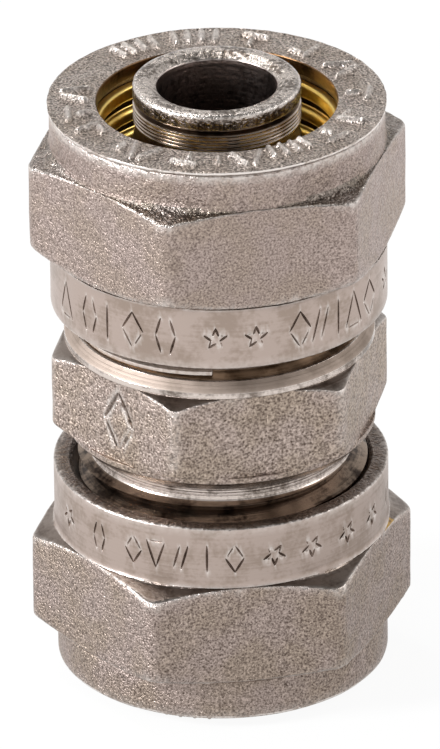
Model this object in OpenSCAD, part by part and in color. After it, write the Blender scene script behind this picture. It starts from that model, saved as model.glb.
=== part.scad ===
// Straight compression coupling for multilayer heating pipe, in millimetres.
// The origin is the centre of the waterway, in the middle of the body, with +Z along the waterway.
// Everything on the lower side is the upper side turned half a turn about X: both threads are right-handed.

/* [Pipe] */
// Outside diameter of the pipe that is clamped
pipe_od = 16; // [14:0.5:20]
// Wall of the pipe
pipe_wall = 2; // [1.8:0.1:2.3]
// Gap between the pipe and the hole that it enters by, at each side
entry_gap = 0.5; // [0.3:0.05:0.6]
// Gap between the pipe's inside and the spigot, at each side
spigot_gap = 0.06; // [0.05:0.01:0.2]

/* [Waterway] */
// Diameter of the waterway
bore_d = 8.5; // [7:0.1:8.6]
// Width of the chamfer at each mouth
mouth_chamfer_w = 0.7; // [0.3:0.05:0.8]
// Depth of that chamfer
mouth_chamfer_h = 0.35; // [0.2:0.05:0.6]

/* [Body hexagon] */
// Width across the flats
body_af = 21.5; // [20.5:0.1:22]
// Height of the hexagon between its two upper and lower limits
body_hex_h = 6.3; // [5:0.1:8]
// Rounding of the forged corners
body_corner_r = 0.9; // [0.3:0.1:1.5]
// Slope of the turned shoulders at the corners, from the horizontal
body_shoulder_slope = 25; // [15:1:35]
// Diameter of the turned flange above and below the hexagon
flange_d = 22.1; // [21.8:0.1:22.6]
// Height of that flange
flange_h = 0.4; // [0.2:0.05:0.8]
// Height of the cone between the flange and the relief groove
flange_cone_h = 0.75; // [0.4:0.05:1]
// How far the cone's upper edge lies inside the thread's outside
flange_cone_inset = 0.13; // [0.05:0.01:0.3]

/* [Thread] */
// Outside diameter of the male thread, a half-inch pipe thread
thread_d = 20.955; // [20:0.005:21.5]
// Pitch of the thread
pitch = 1.814; // [1:0.001:2]
// Gap between the male thread and the nut, at each side
thread_gap = 0.05; // [0.02:0.01:0.09]
// Width of the relief groove between the flange cone and the thread
relief_w = 2; // [1:0.1:2.5]
// Height of the slope from the cone's edge down into that groove
relief_slope_h = 0.35; // [0.1:0.05:0.5]
// Distance from the hexagon's middle to the threaded end's face
thread_end_z = 11.8; // [11:0.1:12.2]
// Chamfer at the thread's end
thread_chamfer = 0.6; // [0.3:0.05:0.9]

/* [Pipe seat] */
// Depth of the pocket that takes the washer and the pipe's end
seat_depth = 2; // [1.6:0.1:3]
// Gap between the pipe and the pocket's wall
seat_gap = 0.3; // [0.2:0.05:0.4]
// Thickness of the insulating washer
washer_t = 1; // [0.6:0.1:1.2]
// Gap round the washer, at its hole and at its rim
washer_gap = 0.08; // [0.04:0.01:0.15]
// Step of the spigot's foot, which centres the washer
foot_step = 0.3; // [0.1:0.05:0.5]

/* [Spigot] */
// Distance from the hexagon's middle to the spigot's tip
tip_z = 22.7; // [21.8:0.1:26]
// Height of the rim at the tip
rim_h = 1; // [0.7:0.05:1.2]
// Rounding of the rim's outer edges
rim_round = 0.2; // [0.1:0.05:0.3]
// Height of the groove under the rim
rim_groove_h = 0.6; // [0.3:0.05:0.8]
// Depth of the groove under the rim
rim_groove_depth = 0.5; // [0.2:0.05:0.6]
// Number of the fine ribs below that groove
rib_count = 6; // [3:1:7]
// Height of one fine rib
rib_h = 0.16; // [0.1:0.01:0.2]
// Depth of the cut between two fine ribs
rib_depth = 0.05; // [0.03:0.01:0.1]
// Height of the waist between the ribs and the outer seal's land
waist_h = 0.58; // [0.3:0.02:0.7]
// Depth of the waist
waist_depth = 0.24; // [0.1:0.02:0.4]

/* [Seals] */
// Section of an O-ring
seal_section = 1.25; // [1.1:0.05:1.4]
// How far an O-ring stands out of its groove
seal_proud = 0.15; // [0.05:0.01:0.2]
// Gap between an O-ring and each side of its groove
seal_side_gap = 0.15; // [0.08:0.01:0.25]
// Gap between an O-ring and the floor of its groove
seal_floor_gap = 0.02; // [0.01:0.01:0.05]
// Land between the two grooves and at each side of them
seal_land = 1.1; // [0.8:0.05:1.3]

/* [Nut] */
// Width across the flats
nut_af = 24; // [23.9:0.1:25.5]
// Length of the nut along the waterway
nut_length = 15.26; // [15:0.02:16.5]
// Diameter of the round collar at the thread's side
collar_d = 23.9; // [23.5:0.05:23.9]
// Height of the collar
collar_h = 4.55; // [4:0.05:5]
// Chamfer at the collar's outer rim
collar_chamfer = 0.15; // [0.05:0.05:0.3]
// Width of the turned step between the collar and the hexagon
collar_step = 0.4; // [0.2:0.05:0.6]
// Diameter of the round boss at the pipe's side
boss_d = 23.7; // [23:0.05:23.8]
// Height of the boss
boss_h = 3.06; // [2.6:0.02:3.4]
// Rounding of the forged vertical corners
nut_corner_r = 1.2; // [0.5:0.1:1.8]
// Rounding of the boss's outer edge
boss_edge_r = 0.25; // [0.1:0.05:0.8]
// Slope of the forged shoulders on the collar's side, from the horizontal
collar_shoulder_slope = 25; // [15:1:35]
// Slope of the forged shoulders on the boss's side, from the horizontal
boss_shoulder_slope = 14; // [8:1:25]
// Diameter of the threaded end's lead-in
lead_in_d = 21.74; // [21.6:0.02:22.2]
// Length of the threaded stretch, from the collar's rim
nut_thread_l = 8; // [7.8:0.1:8.4]
// Height of the round land at the pipe's hole
hole_land_h = 0.98; // [0.6:0.02:1.2]
// Half angle of the cone that closes the split ring
cone_angle = 35; // [25:1:45]

/* [Split ring] */
// Length of the ring
ring_length = 6.2; // [5.8:0.1:6.6]
// Gap between the pipe and the ring's lands while it is open
ring_open_gap = 0.2; // [0.1:0.02:0.3]
// Wall of the ring at its lands
ring_wall = 1.4; // [1.1:0.05:1.45]
// Gap between the ring and the nut's inside
ring_gap = 0.06; // [0.03:0.01:0.1]
// Wall of the ring at the thin end of its cone
ring_end_wall = 0.62; // [0.4:0.02:0.8]
// Height of the gripping land at that end
ring_end_land = 1.07; // [0.8:0.01:1.3]
// Chamfer at the ring's inner end
ring_foot_chamfer = 0.4; // [0.1:0.05:0.5]
// Depth of the grooves between the gripping lands
ring_groove_depth = 0.5; // [0.2:0.05:0.55]
// Number of those grooves
ring_groove_count = 3; // [2:1:3]
// Width of one groove
ring_groove_w = 0.9; // [0.5:0.05:1.1]
// Height of a groove's slanted lower side
ring_groove_slant = 0.15; // [0.05:0.05:0.3]
// Width of the slit
slit_w = 1.6; // [0.8:0.1:3]

/* [Assembly] */
// Gap between the ring and the body's face with the nut screwed right down
closed_gap = 0.1; // [0.05:0.01:0.2]
// Turns that the upper nut is unscrewed
top_turns = 0.866; // [0:0.001:3.2]
// Turns that the lower nut is unscrewed
bottom_turns = 1.262; // [0:0.001:3.2]
// Angle of the upper nut's hexagon from the body's
top_nut_angle = -0.4; // [-30:0.1:30]
// Angle of the lower nut's hexagon from the body's
bottom_nut_angle = 6.2; // [-30:0.1:30]

/* [Hidden] */
$fn = 96;
nickel = "#aaa29b";
brass = "#c9a24b";
rubber = "#1c1c1c";
plastic = "#e8e6df";
// Reach of a cutting solid past the face that it cuts
past = 1;
// How far one piece of a solid is sunk into the next
sink = 0.2;
// Depth of a Whitworth thread, as a share of its pitch
thread_form = 0.64;
// The rim's lower edge is rounded over this angle, from below to the side
rim_low_angle = 60;

// Pipe and spigot radii
pipe_r = pipe_od / 2;
spigot_r = pipe_r - pipe_wall - spigot_gap;
bore_r = bore_d / 2;
hole_r = pipe_r + entry_gap;
pocket_r = pipe_r + seat_gap;
foot_r = spigot_r + foot_step;

// Body heights, each from the hexagon's middle
hex_top_z = body_hex_h / 2;
flange_top_z = hex_top_z + flange_h;
relief_start_z = flange_top_z + flange_cone_h;
thread_start_z = relief_start_z + relief_w;
pocket_floor_z = thread_end_z - seat_depth;
washer_top_z = pocket_floor_z + washer_t;

// Body radii
thread_r = thread_d / 2;
thread_depth = thread_form * pitch;
relief_r = thread_r - thread_depth;
flange_r = flange_d / 2;
cone_top_r = thread_r - flange_cone_inset;
body_core_r = body_af / 2 - sink;

// Spigot and seals, from the tip inwards
rim_low_z = tip_z - rim_h;
rib_top_z = rim_low_z - rim_groove_h;
rib_low_z = rib_top_z - rib_count * rib_h;
waist_low_z = rib_low_z - waist_h;
seal_r = seal_section / 2;
seal_mid_r = spigot_r + seal_proud - seal_r;
groove_floor_r = seal_mid_r - seal_r - seal_floor_gap;
groove_h = seal_section + 2 * seal_side_gap;
outer_seal_z = waist_low_z - seal_land - groove_h / 2;
inner_seal_z = outer_seal_z - groove_h - seal_land;

// Nut radii and heights, from the collar's rim
nut_thread_r = thread_r + thread_gap;
collar_r = collar_d / 2;
boss_r = boss_d / 2;
nut_core_r = boss_r - sink;
nut_corner_reach = nut_af / 2 / cos(30) + past;
boss_base_z = nut_length - boss_h;
ring_bore_r = pipe_r + ring_open_gap;
ring_outer_r = ring_bore_r + ring_wall;
chamber_r = ring_outer_r + ring_gap * 2;
cone_top_z = nut_length - hole_land_h;
cone_h = (chamber_r - hole_r) / tan(cone_angle);

// Split ring: its cone lies parallel to the nut's, one ring_gap away
ring_end_r = ring_bore_r + ring_end_wall;
ring_cone_h = (ring_outer_r - ring_end_r) / tan(cone_angle);
ring_top_in_nut = cone_top_z - (ring_end_r + ring_gap / cos(cone_angle) - hole_r) / tan(cone_angle);
ring_low_in_nut = ring_top_in_nut - ring_length;
ring_groove_pitch = (ring_length - ring_end_land) / ring_groove_count;

// Places along the waterway: the nut that is screwed right down brings its ring to the body's face
closed_rim_z = thread_end_z + closed_gap - ring_low_in_nut;
top_rim_z = closed_rim_z + top_turns * pitch;
bottom_rim_z = closed_rim_z + bottom_turns * pitch;

// Points of an arc about (r, z), from angle a to angle b
function arc(r, z, radius, a, b, steps = 4) =
    [for (i = [0 : steps]) let (t = a + (b - a) * i / steps) [r + radius * cos(t), z + radius * sin(t)]];

// The points of an upper outline together with their mirror image below, for what is the same at both ends
function with_mirror(points) =
    concat(points, [for (i = [len(points) - 1 : -1 : 0]) [points[i][0], -points[i][1]]]);

// A hexagon across the flats af, with flats that face +Y and -Y and corners of radius round
module rounded_hexagon(af, round) {
    corner = (af / 2 - round) / cos(30);
    polygon([for (k = [0 : 5]) for (i = [0 : 4]) let (a = 60 * k - 30 + 15 * i)
        [corner * cos(60 * k) + round * cos(a), corner * sin(60 * k) + round * sin(a)]]);
}

// The forged hexagon of the body: a prism whose corners slope away above and below
module body_hexagon() {
    reach = body_af / 2 / cos(30) + past;
    drop = (reach - flange_r) * tan(body_shoulder_slope);
    intersection() {
        translate([0, 0, -hex_top_z]) linear_extrude(2 * hex_top_z) rounded_hexagon(body_af, body_corner_r);
        rotate_extrude() polygon(with_mirror(
            [[0, hex_top_z], [flange_r, hex_top_z], [reach, hex_top_z - drop]]));
    }
}

// The points of the fine ribs, from the lowest up: each has a flat crest between two slopes
function rib_points() =
    [for (i = [0 : rib_count - 1]) let (z = rib_low_z + i * rib_h)
        each [[spigot_r - rib_depth, z], [spigot_r, z + rib_h / 3], [spigot_r, z + rib_h * 2 / 3]]];

// The points of a groove round the spigot, from its lower edge up, with sides that lean out a little
function groove_points(low, high, depth) =
    [[spigot_r - depth, low + depth / 4], [spigot_r - depth, high - depth / 4]];

// Everything that is turned on the upper half of the body, without the pocket and the seal grooves
module upper_turning() {
    rotate_extrude() polygon(concat(
        [[0, 0], [body_core_r, 0], [body_core_r, hex_top_z - sink], [flange_r, hex_top_z - sink]],
        [[flange_r, flange_top_z], [cone_top_r, relief_start_z], [relief_r, relief_start_z + relief_slope_h]],
        [[relief_r, thread_start_z - thread_depth / 2], [thread_r, thread_start_z]],
        [[thread_r, thread_end_z - thread_chamfer], [thread_r - thread_chamfer, thread_end_z]],
        [[spigot_r, thread_end_z], [spigot_r, waist_low_z]],
        groove_points(waist_low_z, rib_low_z, waist_depth),
        rib_points(),
        [[spigot_r - rib_depth, rib_top_z]],
        groove_points(rib_top_z, rim_low_z, rim_groove_depth),
        arc(spigot_r - rim_round, rim_low_z + rim_round, rim_round, -rim_low_angle, 0),
        arc(spigot_r - rim_round, tip_z - rim_round, rim_round, 0, 90),
        [[0, tip_z]]));
}

// What is cut from the upper half: the pipe's pocket, down to the washer's seat, and the two seal grooves
module upper_cuts() {
    rotate_extrude() polygon([[foot_r, pocket_floor_z], [foot_r, washer_top_z], [spigot_r, washer_top_z],
        [spigot_r, thread_end_z + past], [pocket_r, thread_end_z + past], [pocket_r, pocket_floor_z]]);
    for (z = [outer_seal_z, inner_seal_z]) translate([0, 0, z - groove_h / 2]) difference() {
        cylinder(h = groove_h, r = spigot_r + past);
        translate([0, 0, -past]) cylinder(h = groove_h + 2 * past, r = groove_floor_r);
    }
}

module body() {
    color(nickel) difference() {
        union() {
            body_hexagon();
            upper_turning();
            rotate([180, 0, 0]) upper_turning();
        }
        upper_cuts();
        rotate([180, 0, 0]) upper_cuts();
        translate([0, 0, -tip_z - past]) cylinder(h = 2 * (tip_z + past), r = bore_r);
        for (turn = [0, 180]) rotate([turn, 0, 0]) translate([0, 0, tip_z - mouth_chamfer_h])
            cylinder(h = mouth_chamfer_h * 2, r1 = bore_r, r2 = bore_r + mouth_chamfer_w * 2);
    }
}

// The outside of a nut, from its collar's rim up: a forged hexagon between a turned collar and a round boss
module nut_outside() {
    shoulder_r = collar_r + collar_step;
    collar_drop = (nut_corner_reach - shoulder_r) * tan(collar_shoulder_slope);
    boss_drop = (nut_corner_reach - boss_r) * tan(boss_shoulder_slope);
    shoulder_z = collar_h + collar_step;
    intersection() {
        translate([0, 0, collar_h]) linear_extrude(boss_base_z - collar_h)
            rounded_hexagon(nut_af, nut_corner_r);
        rotate_extrude() polygon([[0, collar_h], [collar_r, collar_h], [shoulder_r, shoulder_z],
            [nut_corner_reach, shoulder_z + collar_drop], [nut_corner_reach, boss_base_z - boss_drop],
            [boss_r, boss_base_z], [0, boss_base_z]]);
    }
    rotate_extrude() polygon(concat(
        [[0, 0], [collar_r - collar_chamfer, 0], [collar_r, collar_chamfer], [collar_r, collar_h + sink]],
        [[nut_core_r, collar_h + 2 * sink], [nut_core_r, boss_base_z - sink], [boss_r, boss_base_z - sink]],
        arc(boss_r - boss_edge_r, nut_length - boss_edge_r, boss_edge_r, 0, 90),
        [[0, nut_length]]));
}

// The inside of a nut: lead-in, threaded stretch, chamber for the ring, closing cone and the pipe's hole
module nut_inside() {
    lead_h = lead_in_d / 2 - nut_thread_r;
    rotate_extrude() polygon([[0, -past], [lead_in_d / 2 + past, -past], [nut_thread_r, lead_h],
        [nut_thread_r, nut_thread_l], [chamber_r, nut_thread_l], [chamber_r, cone_top_z - cone_h],
        [hole_r, cone_top_z], [hole_r, nut_length + past], [0, nut_length + past]]);
}

module nut() {
    color(nickel) difference() {
        nut_outside();
        nut_inside();
    }
}

// A clamping ring from its inner end up: gripping lands inside, a cone outside and a slit through its wall
module split_ring() {
    floor_r = ring_bore_r + ring_groove_depth;
    grooves = [for (i = [1 : ring_groove_count])
        let (high = i * ring_groove_pitch, low = high - ring_groove_w)
        each [[ring_bore_r, low], [floor_r, low + ring_groove_slant], [floor_r, high], [ring_bore_r, high]]];
    color(brass) difference() {
        rotate_extrude() polygon(concat(
            grooves,
            [[ring_bore_r, ring_length], [ring_end_r, ring_length]],
            [[ring_outer_r, ring_length - ring_cone_h], [ring_outer_r, ring_foot_chamfer]],
            [[ring_outer_r - ring_foot_chamfer, 0], [ring_bore_r, 0]]));
        translate([-slit_w / 2, -ring_outer_r - past, -past])
            cube([slit_w, ring_outer_r + past, ring_length + 2 * past]);
    }
}

module o_ring() {
    color(rubber) rotate_extrude() translate([seal_mid_r, 0]) circle(r = seal_r, $fn = 32);
}

module washer() {
    color(plastic) difference() {
        cylinder(h = washer_t, r = pocket_r - washer_gap);
        translate([0, 0, -past]) cylinder(h = washer_t + 2 * past, r = foot_r + washer_gap);
    }
}

module top_nut() {
    translate([0, 0, top_rim_z]) rotate([0, 0, top_nut_angle]) nut();
}

module top_split_ring() {
    translate([0, 0, top_rim_z + ring_low_in_nut]) split_ring();
}

module top_outer_o_ring() {
    translate([0, 0, outer_seal_z]) o_ring();
}

module top_inner_o_ring() {
    translate([0, 0, inner_seal_z]) o_ring();
}

module top_washer() {
    translate([0, 0, pocket_floor_z]) washer();
}

module bottom_nut() {
    rotate([180, 0, 0]) translate([0, 0, bottom_rim_z]) rotate([0, 0, bottom_nut_angle]) nut();
}

module bottom_split_ring() {
    rotate([180, 0, 0]) translate([0, 0, bottom_rim_z + ring_low_in_nut]) rotate([0, 0, 180]) split_ring();
}

module bottom_outer_o_ring() {
    rotate([180, 0, 0]) top_outer_o_ring();
}

module bottom_inner_o_ring() {
    rotate([180, 0, 0]) top_inner_o_ring();
}

module bottom_washer() {
    rotate([180, 0, 0]) top_washer();
}

body();
top_nut();
top_split_ring();
top_outer_o_ring();
top_inner_o_ring();
top_washer();
bottom_nut();
bottom_split_ring();
bottom_outer_o_ring();
bottom_inner_o_ring();
bottom_washer();
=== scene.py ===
# %% [markdown]
# A compression coupling for heating pipe
#
# This lesson dresses a small brass fitting in Blender. The real one is forged in a press, blasted with
# grit, turned at its ends and then plated with nickel, so one piece carries several finishes side by side.
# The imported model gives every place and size, and the pieces made here stand exactly where it says.

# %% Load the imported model
import math

import bmesh
import bpy
from mathutils import Matrix, Vector, noise


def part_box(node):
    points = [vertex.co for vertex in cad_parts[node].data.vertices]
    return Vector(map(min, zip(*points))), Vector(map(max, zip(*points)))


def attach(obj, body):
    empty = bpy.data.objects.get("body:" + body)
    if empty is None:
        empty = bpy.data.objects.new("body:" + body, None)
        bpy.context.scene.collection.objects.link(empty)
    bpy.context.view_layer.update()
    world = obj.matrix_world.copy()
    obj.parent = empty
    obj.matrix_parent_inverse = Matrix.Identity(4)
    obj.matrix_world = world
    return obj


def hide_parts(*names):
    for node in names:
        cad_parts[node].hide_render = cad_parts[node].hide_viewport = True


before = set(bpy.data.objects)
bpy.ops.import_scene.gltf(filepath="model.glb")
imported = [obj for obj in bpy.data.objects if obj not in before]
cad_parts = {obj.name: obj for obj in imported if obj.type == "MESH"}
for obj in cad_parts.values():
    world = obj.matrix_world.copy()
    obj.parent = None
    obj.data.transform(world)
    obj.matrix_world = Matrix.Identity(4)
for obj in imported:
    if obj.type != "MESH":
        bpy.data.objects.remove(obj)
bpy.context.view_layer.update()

# %% [markdown]
# Blender works in metres and a fitting is drawn in millimetres, so every size below is written as
# a number of MM. The threads, the nuts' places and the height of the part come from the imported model.

# %% Units and places
MM = 0.001
LOW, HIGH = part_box("body")
TIP_Z = HIGH.z
TOP_RIM_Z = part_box("top_nut")[0].z
TOP_FACE_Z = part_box("top_nut")[1].z
BOTTOM_RIM_Z = -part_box("bottom_nut")[1].z
NUT_LENGTH = TOP_FACE_Z - TOP_RIM_Z
print("tip at", round(TIP_Z / MM, 2), "mm, nut", round(NUT_LENGTH / MM, 2), "mm long")

# %% [markdown]
# The studio is a pale floor that melts into a white backdrop. The photograph's lens is very long and
# looks down at a little under 27 degrees, so the camera stands far away with a long focal length, which
# keeps the upper and lower nut almost equal in size.

# %% Camera
LOOK_DOWN = math.radians(26.66)
LOOK_FROM = math.radians(-14.36)
CAMERA_ROLL = math.radians(-0.656)
CAMERA_DISTANCE = 838.2 * MM
AIM = Vector((0.0, 0.0, -0.434 * MM))


def stand_camera():
    """Puts the camera on its sphere round the aim, turned to look at it."""
    data = bpy.data.cameras.new("studio_camera")
    data.sensor_fit = "AUTO"
    data.sensor_width = 36.0
    data.lens = 566.2
    data.clip_start = 0.05
    data.clip_end = 10.0
    camera = bpy.data.objects.new("studio_camera", data)
    bpy.context.scene.collection.objects.link(camera)
    level = CAMERA_DISTANCE * math.cos(LOOK_DOWN)
    camera.location = AIM + Vector((level * math.sin(LOOK_FROM), -level * math.cos(LOOK_FROM),
                                    CAMERA_DISTANCE * math.sin(LOOK_DOWN)))
    facing = (AIM - camera.location).to_track_quat("-Z", "Y").to_matrix()
    camera.rotation_euler = (facing @ Matrix.Rotation(CAMERA_ROLL, 3, "Z")).to_euler()
    bpy.context.scene.camera = camera
    return camera


camera = stand_camera()
print("camera at", [round(c, 3) for c in camera.location])

# %% [markdown]
# Two small helpers serve every material. The first turns a hex colour, as a designer writes it, into the
# linear values that shaders need. The second adds one node with its settings and its links.

# %% Colour and node helpers
def linear(hex_colour):
    """The linear RGBA of an sRGB colour such as "#a6988f"."""
    parts = [int(hex_colour[i:i + 2], 16) / 255 for i in (1, 3, 5)]
    return [p / 12.92 if p <= 0.04045 else ((p + 0.055) / 1.055) ** 2.4 for p in parts] + [1.0]


def add_node(tree, kind, settings=None, **inputs):
    """Adds a node. Settings are its properties. Inputs are values, sockets or nodes, by name or place; a
    node stands for the first of its outputs that its settings leave in use."""
    node = tree.nodes.new(kind)
    for name, value in (settings or {}).items():
        setattr(node, name, value)
    for name, value in inputs.items():
        title = name.replace("_", " ")
        socket = node.inputs[title] if title in node.inputs else node.inputs[int(name[1:])]
        if isinstance(value, bpy.types.Node):
            value = next(output for output in value.outputs if output.enabled)
        if isinstance(value, bpy.types.NodeSocket):
            tree.links.new(value, socket)
        else:
            socket.default_value = value
    return node


def new_material(name):
    """An empty node material and its tree."""
    material = bpy.data.materials.new(name)
    material.use_nodes = True
    material.node_tree.nodes.clear()
    return material, material.node_tree


print("nickel grey is", [round(c, 3) for c in linear("#a6988f")[:3]])

# %% [markdown]
# The floor is white paper. Light Path tells it when the camera or a reflection looks at it: there it
# glows a clean white, and a share of real shading stays, which keeps the coupling's soft shadow. What the
# metal mirrors of the floor is dimmer near the coupling and on its right, as it is in a studio lit from
# the left. The world is white walls below a dimmer ceiling, which gives the metal something to reflect.

# %% Floor and world
FLOOR_GLOW = 0.93
GLOW_MIDDLE = Vector((18, 0, 0)) * MM
GLOW_NEAR, GLOW_NEAR_R = 0.78, 25 * MM
GLOW_FAR, GLOW_FAR_R = 1.2, 65 * MM
WORLD_LIGHT = 0.55
WALL_LIGHT = 0.9
WALL_TOP = math.sin(math.radians(18))
CEILING_FROM = math.sin(math.radians(70))
CEILING_LIGHT = 0.12
LARGER = {"operation": "MAXIMUM"}
LENGTH = {"operation": "LENGTH"}
TIMES = {"operation": "MULTIPLY"}
TIMES_PLUS = {"operation": "MULTIPLY_ADD"}


def white_paper():
    material, tree = new_material("white_studio_paper")
    shaded = add_node(tree, "ShaderNodeBsdfDiffuse", Color=linear("#f4f3f1"))
    path = add_node(tree, "ShaderNodeLightPath").outputs
    place = add_node(tree, "ShaderNodeTexCoord").outputs["Object"]
    away = add_node(tree, "ShaderNodeVectorMath", {"operation": "DISTANCE"}, _0=place, _1=GLOW_MIDDLE)
    in_metal = add_node(tree, "ShaderNodeMapRange", Value=away, From_Min=GLOW_NEAR_R, From_Max=GLOW_FAR_R,
                        To_Min=GLOW_NEAR, To_Max=GLOW_FAR)
    strength = add_node(tree, "ShaderNodeMix", Factor=path["Is Glossy Ray"], _2=1.0, _3=in_metal)
    glow = add_node(tree, "ShaderNodeEmission", Color=(1, 1, 1, 1), Strength=strength)
    direct = add_node(tree, "ShaderNodeMath", LARGER, _0=path["Is Camera Ray"],
                      _1=path["Is Transmission Ray"])
    share = add_node(tree, "ShaderNodeMath", TIMES_PLUS, _0=direct, _1=FLOOR_GLOW, _2=path["Is Glossy Ray"])
    paper = add_node(tree, "ShaderNodeMixShader", Fac=share, _1=shaded, _2=glow)
    add_node(tree, "ShaderNodeOutputMaterial", Surface=paper)
    return material


def make_floor():
    bm = bmesh.new()
    bmesh.ops.create_circle(bm, cap_ends=True, segments=64, radius=1.5)
    mesh = bpy.data.meshes.new("floor")
    bmesh.ops.translate(bm, verts=bm.verts, vec=(0, 0, LOW.z))
    bm.to_mesh(mesh)
    bm.free()
    floor = bpy.data.objects.new("floor", mesh)
    bpy.context.scene.collection.objects.link(floor)
    mesh.materials.append(white_paper())
    return floor


def light_world():
    world = bpy.data.worlds.new("studio_world")
    bpy.context.scene.world = world
    world.use_nodes = True
    tree = world.node_tree
    tree.nodes.clear()
    path = add_node(tree, "ShaderNodeLightPath").outputs
    place = add_node(tree, "ShaderNodeTexCoord").outputs["Generated"]
    height = add_node(tree, "ShaderNodeSeparateXYZ", Vector=place).outputs["Z"]
    in_metal = add_node(tree, "ShaderNodeMapRange", Value=height, From_Min=WALL_TOP, From_Max=CEILING_FROM,
                        To_Min=WALL_LIGHT, To_Max=CEILING_LIGHT)
    spread = add_node(tree, "ShaderNodeMix", Factor=path["Is Glossy Ray"], _2=WORLD_LIGHT, _3=in_metal)
    direct = add_node(tree, "ShaderNodeMath", LARGER, _0=path["Is Camera Ray"],
                      _1=path["Is Transmission Ray"])
    level = add_node(tree, "ShaderNodeMix", Factor=direct, _2=spread, _3=1.0)
    background = add_node(tree, "ShaderNodeBackground", Color=(1, 1, 1, 1), Strength=level)
    add_node(tree, "ShaderNodeOutputWorld", Surface=background)


make_floor()
light_world()
bpy.context.scene.view_settings.view_transform = "Standard"
print("floor at", round(LOW.z / MM, 2), "mm")

# %% [markdown]
# Almost everything on the coupling is turned, so a piece starts as its outline, one loop of points that
# goes once round the metal in a plane through the axis. Each corner is named by its radius and height, how
# far from the corner its rounding starts, and how many rows the next stretch needs. bmesh bevels the
# corners, divides the stretches and spins the loop once round the axis, as a lathe would.

# %% Outline and spin
def spin_outline(corners, steps, row_at, round_steps=3):
    """A closed solid of revolution. A corner is (radius, height) or (radius, height, rounding), in mm."""
    bm = bmesh.new()
    verts = [bm.verts.new((corner[0] * MM, 0, corner[1] * MM)) for corner in corners]
    for first, second in zip(verts, verts[1:] + verts[:1]):
        bm.edges.new((first, second))
    for corner, vert in zip(corners, verts):
        if len(corner) > 2:
            bmesh.ops.bevel(bm, geom=[vert], offset=corner[2] * MM, segments=round_steps, profile=0.5,
                            affect="VERTICES", material=-1)
    for edge in bm.edges[:]:
        middle = (edge.verts[0].co + edge.verts[1].co) / 2
        rows = math.ceil(edge.calc_length() / MM / row_at(middle.x / MM, middle.z / MM))
        if rows > 1:
            bmesh.ops.subdivide_edges(bm, edges=[edge], cuts=rows - 1)
    axis = {"cent": (0, 0, 0), "axis": (0, 0, 1), "dvec": (0, 0, 0)}
    bmesh.ops.spin(bm, geom=bm.verts[:] + bm.edges[:], angle=math.pi / 3, steps=steps // 6, use_merge=False,
                   use_normal_flip=False, use_duplicate=False, **axis)
    bmesh.ops.spin(bm, geom=bm.verts[:] + bm.edges[:] + bm.faces[:], angle=math.pi * 5 / 3, steps=5,
                   use_merge=False, use_normal_flip=False, use_duplicate=True, **axis)
    bmesh.ops.remove_doubles(bm, verts=[vert for vert in bm.verts if vert.is_boundary], dist=0.001 * MM)
    bmesh.ops.recalc_face_normals(bm, faces=bm.faces)
    return bm


def polar(co):
    """Radius and height in mm and angle in radians of a point."""
    return math.hypot(co.x, co.y) / MM, co.z / MM, math.atan2(co.y, co.x)


def finish_mesh(bm, name, crisp_angle=38.0):
    """Turns a bmesh into an object whose edges sharper than crisp_angle stay crisp."""
    limit = math.radians(crisp_angle)
    for face in bm.faces:
        face.smooth = True
    for edge in bm.edges:
        edge.smooth = len(edge.link_faces) == 2 and edge.calc_face_angle(0.0) < limit
    mesh = bpy.data.meshes.new(name)
    bm.to_mesh(mesh)
    bm.free()
    piece = bpy.data.objects.new(name, mesh)
    bpy.context.scene.collection.objects.link(piece)
    return piece


print("helpers for turned pieces are ready")

# %% [markdown]
# The forged hexagons have rounded corners and shoulders that slope away from the collar and the boss. The
# nut is first spun as if it were round, as wide as the hexagon's corners, and then pressed: every point of
# the hexagon's stretch moves in to the flat, and slides along the shoulder's slope as it goes. That gives
# the curved lines where a slope meets a flat, which a press and a lathe leave on the real one.

# %% Press to a hexagon
SHOULDER_FILLET = 0.6


def hexagon_reach(angle, across_flats, corner_round):
    """Distance in mm from the axis to a rounded hexagon's outline; its corners point along +X and -X."""
    off_corner = (angle + math.pi / 6) % (math.pi / 3) - math.pi / 6
    centre = (across_flats / 2 - corner_round) / math.cos(math.pi / 6)
    tangent = math.atan2(corner_round * 0.5, centre + corner_round * math.cos(math.pi / 6))
    if abs(off_corner) < tangent:
        return centre * math.cos(off_corner) + math.sqrt(
            corner_round ** 2 - (centre * math.sin(off_corner)) ** 2)
    return across_flats / 2 / math.cos(math.pi / 6 - abs(off_corner))


class Hexagon:
    """A forged hexagon between a lower and an upper shoulder. inner is the radius where its slopes start."""

    def __init__(self, across_flats, corner_round, turn, inner, low, high):
        self.af, self.round, self.turn, self.inner, self.low, self.high = (
            across_flats, corner_round, math.radians(turn), inner, low, high)
        self.corner = hexagon_reach(0, across_flats, corner_round)
        self.middle = (low(inner) + high(inner)) / 2

    def press(self, bm):
        """Moves the points outside the inner radius from the round outline to the hexagon."""
        low_edge, high_edge = self.low(self.corner), self.high(self.corner)
        for vert in bm.verts:
            r, z, angle = polar(vert.co)
            below_top = z < self.high(self.inner) + SHOULDER_FILLET
            if r <= self.inner + 1e-4 or z <= self.low(self.inner) - 0.01 or not below_top:
                continue
            reach = hexagon_reach(angle - self.turn, self.af, self.round)
            new_r = self.inner + (r - self.inner) * (reach - self.inner) / (self.corner - self.inner)
            if z > self.middle:
                share = min(1, (z - self.middle) / (high_edge - self.middle))
                z += share * (self.high(new_r) - self.high(r))
            else:
                share = min(1, (self.middle - z) / (self.middle - low_edge))
                z += share * (self.low(new_r) - self.low(r))
            vert.co = Vector((new_r * math.cos(angle), new_r * math.sin(angle), z)) * MM


def slope_from(r0, z0, degrees):
    """Height of a shoulder that is flat up to r0, z0 and then rises or falls by so many degrees."""
    rise = math.tan(math.radians(degrees))
    return lambda r: z0 + max(0.0, r - r0) * rise


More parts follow.
